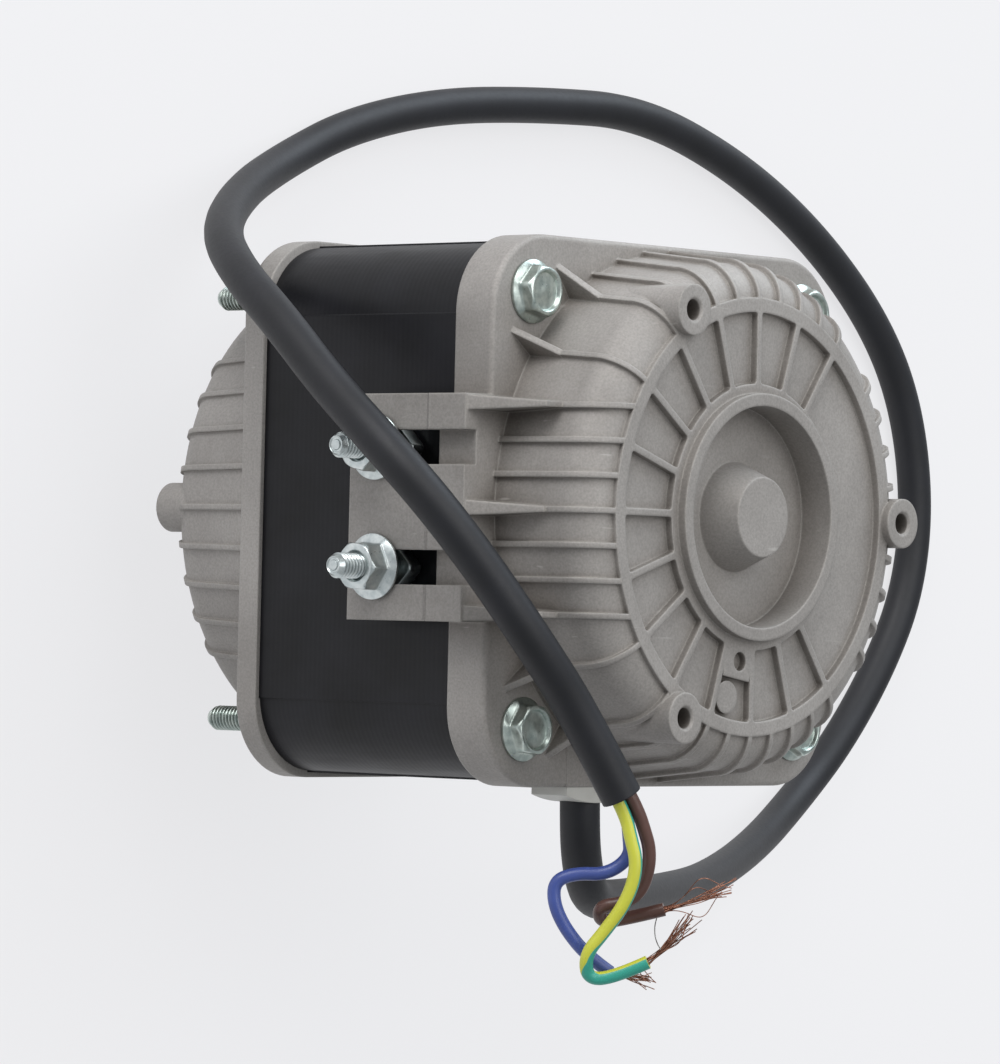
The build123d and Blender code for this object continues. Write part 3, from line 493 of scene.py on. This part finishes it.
def smooth_curve(name, route, diameter):
    """A round cord along a smooth line with the route's points as its control points."""
    data = bpy.data.curves.new(name, "CURVE")
    data.dimensions = "3D"
    data.bevel_depth = diameter / 2
    data.bevel_resolution = 10
    data.use_fill_caps = True
    spline = data.splines.new("NURBS")
    spline.points.add(len(route) - 1)
    for point, place in zip(spline.points, in_metres(route)):
        point.co = (*place, 1.0)
    spline.order_u = 3
    spline.use_endpoint_u = True
    spline.resolution_u = 12
    piece = bpy.data.objects.new(name, data)
    bpy.context.scene.collection.objects.link(piece)
    return piece


def line_of(name, route):
    """The points along the smooth line of a route."""
    bare = smooth_curve(name + "_line", route, 0)
    mesh = bpy.data.meshes.new_from_object(bare)
    points = [vertex.co.copy() for vertex in mesh.vertices]
    bpy.data.meshes.remove(mesh)
    bpy.data.objects.remove(bare)
    return points


def frames_along(points):
    """A side and an up direction at each point, turned as little as possible along the way."""
    side = Vector((0, 0, 1)).cross(points[1] - points[0]).normalized()
    made = []
    for index, point in enumerate(points):
        before = points[max(index - 1, 0)]
        after = points[min(index + 1, len(points) - 1)]
        along = (after - before).normalized()
        side = (side - along * side.dot(along)).normalized()
        made.append((point, side, along.cross(side)))
    return made


def away(side, up, angle):
    """A unit step away from a line, at an angle round it."""
    return side * cos(angle) + up * sin(angle)


def lay_shift(places, lay):
    """Where the stripe's middle lies round each ring, as turns from the ring's own side direction."""
    towards = Vector(CAMERA_BACK)
    shares = [share for share, _ in lay]
    angles = [angle for _, angle in lay]
    shifts = []
    for index, (_, side, up) in enumerate(places):
        angle = np.interp(index / (len(places) - 1), shares, angles)
        turn = atan2(towards.dot(up), towards.dot(side)) / tau + angle / 360
        if shifts:
            turn -= round(turn - shifts[-1])
        shifts.append(turn)
    return shifts


def tube_piece(name, points, radius, material, lay, sides=24):
    """A mesh tube along points, with a UV that goes round it from the middle of its stripe."""
    bm = bmesh.new()
    uv = bm.loops.layers.uv.new("lay")
    places = frames_along(points)
    shifts = lay_shift(places, lay)
    turns = [tau * k / sides for k in range(sides)]
    rows = []
    for place, side, up in places:
        rows.append([place + radius * away(side, up, turn) for turn in turns])
    rings = grid(bm, rows)
    row_of = {vertex: index for index, ring in enumerate(rings) for vertex in ring}
    column_of = {vertex: k for ring in rings for k, vertex in enumerate(ring)}
    for face in bm.faces:
        columns = [column_of[loop.vert] for loop in face.loops]
        wraps = max(columns) - min(columns) > 1
        for loop, column in zip(face.loops, columns):
            around = (sides if wraps and column == 0 else column) / sides
            row = row_of[loop.vert]
            loop[uv].uv = (around - shifts[row], row / (len(rows) - 1))
    for ring in (rings[0], rings[-1]):
        bm.faces.new(ring)
    piece = add_mesh(name, bm, material)
    sharpen(piece, 50)
    return piece


def wire_curve(name, material, radius):
    """An empty curve object that takes round wires of one radius."""
    data = bpy.data.curves.new(name, "CURVE")
    data.dimensions = "3D"
    data.bevel_depth = radius
    data.bevel_resolution = 1
    data.use_fill_caps = True
    data.materials.append(material)
    piece = bpy.data.objects.new(name, data)
    bpy.context.scene.collection.objects.link(piece)
    return piece


def add_wire(piece, places):
    """One smooth wire through a curve object, with the places as its control points."""
    spline = piece.data.splines.new("NURBS")
    spline.points.add(len(places) - 1)
    for point, place in zip(spline.points, places):
        point.co = (*place, 1.0)
    spline.order_u = 4
    spline.use_endpoint_u = True
    spline.resolution_u = 6


def wire_bundle(name, start, along, sweep, count, seed, curls):
    """Thin bare wires that leave the insulation as a twisted bundle and part into tufts.

    The sweep is the way from the insulation's end to the bundle's tips, and the first wires curl by the
    lengths given.
    """
    rng = random.Random(seed)
    length = sweep.length
    ahead = sweep.normalized()
    side = ahead.cross(Vector((0, 0, 1))).normalized()
    up = side.cross(ahead)
    piece = wire_curve(name, COPPER, WIRE_RADIUS)
    tufts = [(rng.uniform(0, tau), rng.uniform(0.35, 1.0)) for _ in range(TUFTS)]
    for wire in range(count):
        ring = BUNDLE_RADIUS * rng.random() ** 0.5
        angle = rng.uniform(0, tau)
        twist = rng.uniform(1.2, 2.0)
        tuft_angle, tuft_reach = tufts[wire % TUFTS]
        reach = rng.uniform(0.78, 1.04)
        loose = rng.uniform(0.15, 0.5) * TUFT_SPREAD
        loose_angle = rng.uniform(0, tau)
        curl = curls[wire] * MM if wire < len(curls) else rng.uniform(-0.5, 0.5) * MM
        curl_angle = rng.uniform(0, tau)
        places = []
        for step in range(WIRE_STEPS + 1):
            t = step / WIRE_STEPS
            leaving = 0.16 * length * reach * min(t * 3, 1.0) - 0.5 * MM * (1 - t)
            place = start + along * leaving + ahead * (0.9 * length * reach * t**1.15)
            gather = ring * (1 - 0.45 * sin(pi * min(1.0, 1.6 * t)))
            place += away(side, up, angle + twist * t) * gather
            place += away(side, up, tuft_angle) * TUFT_SPREAD * tuft_reach * t**2.2
            place += away(side, up, loose_angle) * loose * t**1.6
            hook = curl * sin(pi * t) ** 2 * t * 2
            place += away(side, up, curl_angle) * hook
            places.append(place)
        add_wire(piece, places)
    return piece


def in_view(right, up, towards):
    """A vector given along the picture's sides, in millimetres."""
    return (Vector(CAMERA_RIGHT) * right + Vector(CAMERA_UP) * up + Vector(CAMERA_BACK) * towards) * MM


def add_leads():
    """The sheathed lead, its three cores and their bared ends."""
    cord = smooth_curve("lead_sheath", CORD_ROUTE, CORD_DIAMETER)
    cord.data.materials.append(SHEATH)
    cord.data.resolution_u = 12
    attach(cord, "housing")
    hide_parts("power_cord")
    add_core("earth", EARTH_ROUTE, EARTH, "green_yellow_insulation", EARTH_LAY, EARTH_WIRES)
    add_core("live", LIVE_ROUTE, BROWN, "brown_insulation", PLAIN_LAY, LIVE_WIRES)
    add_core("neutral", NEUTRAL_ROUTE, BLUE, "blue_insulation", PLAIN_LAY, NEUTRAL_WIRES)
    add_stray_wire()


def add_core(name, route, material, slot, lay, wires):
    """One insulated core from the sheath's end, with its bared wires."""
    sweep, count, seed, curls = wires
    points = line_of(name, route)
    core = tube_piece(name + "_core", points, CORE_DIAMETER / 2, material, lay)
    along = (points[-1] - points[-3]).normalized()
    bundle = wire_bundle(name + "_wires", points[-1], along, in_view(*sweep), count, seed, curls)
    for piece, node, finish in ((core, f"{name}_conductor", slot), (bundle, f"{name}_strands", "copper")):
        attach(piece, "housing")
        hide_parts(node)


def add_stray_wire():
    """The one pale wire that stands up from the earth core's bundle to the brown core's end."""
    foot = Vector(EARTH_ROUTE[-1]) * MM + in_view(2.0, 1.9, 0.3)
    head = Vector(LIVE_ROUTE[-1]) * MM + in_view(-1.2, -1.4, 0.4)
    low_bend = foot.lerp(head, 0.3) + in_view(-0.9, 0, 0)
    high_bend = foot.lerp(head, 0.7) + in_view(-0.7, 0, 0)
    wire = wire_curve("stray_wire", TINNED, STRAY_WIRE_RADIUS)
    add_wire(wire, [foot, low_bend, high_bend, head])
    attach(wire, "housing")


# Fasteners
THREAD_PITCH = 0.7 * MM
THREAD_DEPTH = 0.4 * MM
THREAD_RADIUS = 2.0 * MM
RINGS_PER_PITCH = 12
TIP_BEVEL = 0.55 * MM
TIP_STEP = 0.1 * MM
NUT_BORE = 2.02 * MM
NUT_FLAT = 7.0 * MM
NUT_WASHER_RADIUS = 3.95 * MM
HEAD_HEIGHT = 3.3 * MM
HEAD_WASHER_RADIUS = 5.0 * MM
HEAD_FLAT = 7.4 * MM
PLAIN_SHANK = 42 * MM
SCREW_TIP = 1.0 * MM
HEXAGON_FOOT = 1.2 * MM
NEAR_POINT = 0.02 * MM
CLAMP_HEAD_FLAT = 7.0 * MM
CLAMP_HEAD_ROUND = 4.5 * MM
CLAMP_HEAD_BEVEL = 0.2 * MM
CLAMP_HEAD_DEPTH = 2.8 * MM
CLAMP_TIP = 0.9 * MM
# Profiles as rings in millimetres: radius and level on a rod's end, inset and level on a washer,
# inset and depth in a screw head's dish
ROD_END = ((1.3, -0.02), (1.15, -0.22), (0.85, -0.22), (0.75, -0.04), (0.45, 0.0))
WASHER = ((0.15, 0), (0, 0.15), (0, 0.5), (0.12, 0.62))
DISH = ((0.45, 0), (0.62, 0.12), (0.8, 0.6), (1.4, 0.72))


def threaded_rod(bm, origin, turn, length, tip, plain=0.0, sides=40):
    """A rod along the local Z of a frame, plain at first and then threaded up to a bevelled, flat end."""
    steps = max(8, int((length - plain) / THREAD_PITCH * RINGS_PER_PITCH))
    levels = [0.0] + [plain + (length - plain) * k / steps for k in range(steps + 1)]
    rows = []
    for level in levels:
        row = []
        for k in range(sides):
            angle = tau * k / sides
            phase = (level / THREAD_PITCH - k / sides) % 1.0
            groove = THREAD_DEPTH * (1 - abs(2 * phase - 1) * 1.25)
            groove = max(0.0, min(THREAD_DEPTH, groove))
            r = THREAD_RADIUS - (groove if level > plain else 0.0)
            left = length - level
            if left < tip:
                r = min(r, THREAD_RADIUS - TIP_BEVEL * (1 - left / tip) - TIP_STEP)
            row.append(origin + turn @ Vector((r * cos(angle), r * sin(angle), level)))
        rows.append(row)
    for r, level in ROD_END:
        rows.append(round_row(r * MM, length + level * MM, turn, origin, sides))
    rings = grid(bm, rows)
    bm.faces.new(rings[0])
    bm.faces.new(rings[-1])


def polygon_row(count, flat, level, turn, origin, cap=None, sides=72, spin=0.0):
    """A ring of points on a regular polygon's outline, cut off where it leaves a round limit."""
    row = []
    sector = pi / count
    for k in range(sides):
        angle = tau * k / sides
        local = (angle - spin) % (2 * sector) - sector
        r = flat / 2 / cos(local)
        if cap is not None:
            r = min(r, cap)
        row.append(origin + turn @ Vector((r * cos(angle), r * sin(angle), level)))
    return row


def round_row(radius, level, turn, origin, sides=72):
    """A ring of points on a circle."""
    row = []
    for k in range(sides):
        angle = tau * k / sides
        row.append(origin + turn @ Vector((radius * cos(angle), radius * sin(angle), level)))
    return row


def flange_hexagon(bm, origin, turn, height, flange_radius, spin, flat=NUT_FLAT, bore=None):
    """A hexagon with its washer: a countersunk nut where it has a bore, and else a screw's dished head."""
    def ring(radius, level):
        return round_row(radius, level, turn, origin)

    def hexagon(width, level, cap=None):
        return polygon_row(6, width, level, turn, origin, cap, spin=spin)

    rows = [ring(bore or NEAR_POINT, 0)]
    rows += [ring(flange_radius - inset * MM, level * MM) for inset, level in WASHER]
    rows.append(hexagon(flat + 0.7 * MM, 0.95 * MM, flange_radius - 0.35 * MM))
    rows.append(hexagon(flat + 0.1 * MM, HEXAGON_FOOT))
    rows.append(hexagon(flat, HEXAGON_FOOT + 0.15 * MM))
    corner = flat / 2 / cos(pi / 6)
    for k in range(5):
        drop = 0.75 * MM * (1 - k / 4) ** 1.5
        cap = corner - (corner - flat / 2 + 0.15 * MM) * (k / 4)
        rows.append(hexagon(flat, height - drop, cap))
    if bore is None:
        rows += [ring(flat / 2 - inset * MM, height - depth * MM) for inset, depth in DISH]
        rows.append(ring(0.9 * MM, height - 0.55 * MM))
        rows.append(ring(NEAR_POINT, height - 0.5 * MM))
        rings = grid(bm, rows)
        bm.faces.new(rings[0])
        bm.faces.new(rings[-1])
        return
    rows.append(ring(bore + 0.5 * MM, height))
    rows.append(ring(bore, height - 0.5 * MM))
    rings = grid(bm, rows)
    for k in range(len(rings[0])):
        j = (k + 1) % len(rings[0])
        bm.faces.new((rings[-1][k], rings[-1][j], rings[0][j], rings[0][k]))


def add_fastener(name, bm, material, body, node):
    """A finished screw or nut in place of its CAD node."""
    piece = add_mesh(name, bm, material)
    sharpen(piece)
    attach(piece, body)
    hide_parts(node)


def add_long_screws():
    """The four screws through the covers, with their nuts."""
    low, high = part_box("through_screws")
    nut_low, nut_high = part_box("through_nuts")
    reach = (high.x - low.x) / 2 - HEAD_WASHER_RADIUS
    seat = high.z - HEAD_HEIGHT
    upright = Matrix.Identity(3)
    down = Matrix.Rotation(pi, 3, "X")
    spins = (0.30, -0.12, 0.42, 0.08)
    screws = bmesh.new()
    nuts = bmesh.new()
    corners = [(sx, sy) for sx in (-1, 1) for sy in (-1, 1)]
    for (sx, sy), spin in zip(corners, spins):
        head = Vector((sx * reach, sy * reach, seat))
        nut = Vector((sx * reach, sy * reach, nut_high.z))
        flange_hexagon(screws, head, upright, HEAD_HEIGHT, HEAD_WASHER_RADIUS, spin, HEAD_FLAT)
        threaded_rod(screws, head, down, seat - low.z, SCREW_TIP, PLAIN_SHANK)
        flange_hexagon(nuts, nut, down, nut_high.z - nut_low.z, NUT_WASHER_RADIUS, spin + 0.3, bore=NUT_BORE)
    add_fastener("long_screws", screws, HEAD_ZINC, "housing", "through_screws")
    add_fastener("long_screw_nuts", nuts, ZINC, "housing", "through_nuts")


def add_clamp(side, spin):
    """One bolt of the foot, whose square head runs behind its slot, with its nut."""
    outward = Matrix.Rotation(pi / 2, 3, "X")
    low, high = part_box(f"foot_bolt_{side}")
    nut_low, nut_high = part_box(f"foot_nut_{side}")
    centre_x = (low.x + high.x) / 2
    centre_z = (low.z + high.z) / 2
    back = Vector((centre_x, high.y, centre_z))
    edge_flat = CLAMP_HEAD_FLAT - CLAMP_HEAD_BEVEL
    edge_round = CLAMP_HEAD_ROUND - CLAMP_HEAD_BEVEL
    bolt = bmesh.new()
    rings = grid(bolt, [
        polygon_row(4, edge_flat, 0, outward, back, edge_round),
        polygon_row(4, CLAMP_HEAD_FLAT, CLAMP_HEAD_BEVEL, outward, back, CLAMP_HEAD_ROUND),
        polygon_row(4, CLAMP_HEAD_FLAT, CLAMP_HEAD_DEPTH - CLAMP_HEAD_BEVEL, outward, back, CLAMP_HEAD_ROUND),
        polygon_row(4, edge_flat, CLAMP_HEAD_DEPTH, outward, back, edge_round),
    ])
    bolt.faces.new(rings[0])
    bolt.faces.new(rings[-1])
    sunk = 0.05 * MM
    shank = Vector((centre_x, high.y - CLAMP_HEAD_DEPTH + sunk, centre_z))
    threaded_rod(bolt, shank, outward, high.y - low.y - CLAMP_HEAD_DEPTH + sunk, CLAMP_TIP)
    nut = bmesh.new()
    seat = Vector((centre_x, nut_high.y, centre_z))
    nut_radius = (nut_high.x - nut_low.x) / 2
    flange_hexagon(nut, seat, outward, nut_high.y - nut_low.y, nut_radius, spin, bore=NUT_BORE)
    add_fastener(f"clamp_bolt_{side}", bolt, ZINC, f"{side}_clamp", f"foot_bolt_{side}")
    add_fastener(f"clamp_nut_{side}", nut, ZINC, f"{side}_clamp", f"foot_nut_{side}")


# Cover's lip over the grommet: two opposite corners and the bevel of its top edge, in millimetres
LIP_LOW = (36.4, -22.85, 91.66)
LIP_HIGH = (43.1, -7.15, 91.79)
LIP_BEVEL = 0.04
LIP_ACROSS = 8
LIP_ALONG = 18


def lip_row(level, inset):
    """The lip's outline at one level, drawn in by an inset."""
    x0, y0 = LIP_LOW[0] + inset, LIP_LOW[1] + inset
    x1, y1 = LIP_HIGH[0] - inset, LIP_HIGH[1] - inset
    across = [k / LIP_ACROSS for k in range(LIP_ACROSS)]
    along = [k / LIP_ALONG for k in range(LIP_ALONG)]
    row = [(x0 + (x1 - x0) * t, y0) for t in across]
    row += [(x1, y0 + (y1 - y0) * t) for t in along]
    row += [(x1 - (x1 - x0) * t, y1) for t in across]
    row += [(x0, y1 - (y1 - y0) * t) for t in along]
    return [Vector((x, y, level)) * MM for x, y in row]


def add_lip():
    """The thin cast web that closes the flange's notch over the grommet."""
    bm = bmesh.new()
    top = LIP_HIGH[2]
    rings = grid(bm, [lip_row(LIP_LOW[2], 0), lip_row(top - LIP_BEVEL, 0), lip_row(top, LIP_BEVEL)])
    bm.faces.new(rings[0])
    bm.faces.new(rings[-1])
    lip = add_mesh("grommet_lip", bm, CAST_REAR, smooth=False)
    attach(lip, "housing")


# Surroundings
FLOOR_SHADE = linear(239, 239, 241)
FLOOR_HALF = 3.0
FLOOR_GLOW = 0.84


def add_floor():
    """A pale floor that glows a little for the camera and in reflections, and keeps its shadow."""
    bm = bmesh.new()
    corners = [(x * FLOOR_HALF, y * FLOOR_HALF) for x, y in ((-1, -1), (1, -1), (1, 1), (-1, 1))]
    bm.faces.new([bm.verts.new((x, y, 0)) for x, y in corners])
    floor_shader = Shader("pale_floor", 0.9)
    floor_shader.bsdf.inputs["Base Color"].default_value = FLOOR_SHADE
    tree = floor_shader.tree
    path = floor_shader.node("ShaderNodeLightPath")
    glow = floor_shader.node("ShaderNodeEmission")
    glow.inputs["Color"].default_value = FLOOR_SHADE
    mix = floor_shader.node("ShaderNodeMixShader")
    seen = floor_shader.math("MAXIMUM", path.outputs["Is Camera Ray"], path.outputs["Is Glossy Ray"])
    share = floor_shader.math("MULTIPLY", seen, FLOOR_GLOW)
    tree.links.new(share, mix.inputs["Fac"])
    tree.links.new(floor_shader.bsdf.outputs["BSDF"], mix.inputs[1])
    tree.links.new(glow.outputs["Emission"], mix.inputs[2])
    tree.links.new(mix.outputs["Shader"], tree.nodes["Material Output"].inputs["Surface"])
    add_mesh("floor", bm, floor_shader.material, smooth=False)


def add_lamp(name, place, target, size, power, colour=(1, 1, 1)):
    """A soft rectangular lamp of so many watts that faces a target."""
    data = bpy.data.lights.new(name, "AREA")
    data.color = colour
    data.shape = "RECTANGLE"
    data.size, data.size_y = size
    data.energy = power
    lamp = bpy.data.objects.new(name, data)
    lamp.location = place
    lamp.rotation_euler = (Vector(target) - Vector(place)).to_track_quat("-Z", "Y").to_euler()
    bpy.context.scene.collection.objects.link(lamp)


def add_light():
    """A big soft box above, panels at the side and behind, and an even pale surround."""
    add_lamp("soft_box", (-0.45, -0.15, 1.35), (0, 0, 0.05), (1.2, 1.2), 10)
    add_lamp("side_key", (-1.1, -0.75, 0.42), (0, 0, 0.07), (0.9, 0.8), 11.5)
    add_lamp("back_panel", (-1.1, 0.9, 0.6), (0, 0, 0.05), (1.0, 1.0), 12, (0.82, 0.91, 1.0))
    world = bpy.data.worlds.new("surround")
    world.use_nodes = True
    world.node_tree.nodes["Background"].inputs["Color"].default_value = (0.94, 0.97, 1.0, 1)
    world.node_tree.nodes["Background"].inputs["Strength"].default_value = 0.46
    bpy.context.scene.world = world
    bpy.context.scene.view_settings.view_transform = "Standard"


add_camera()
add_leads()
add_long_screws()
add_clamp("left", 0.2)
add_clamp("right", 0.45)
add_lip()
add_floor()
add_light()
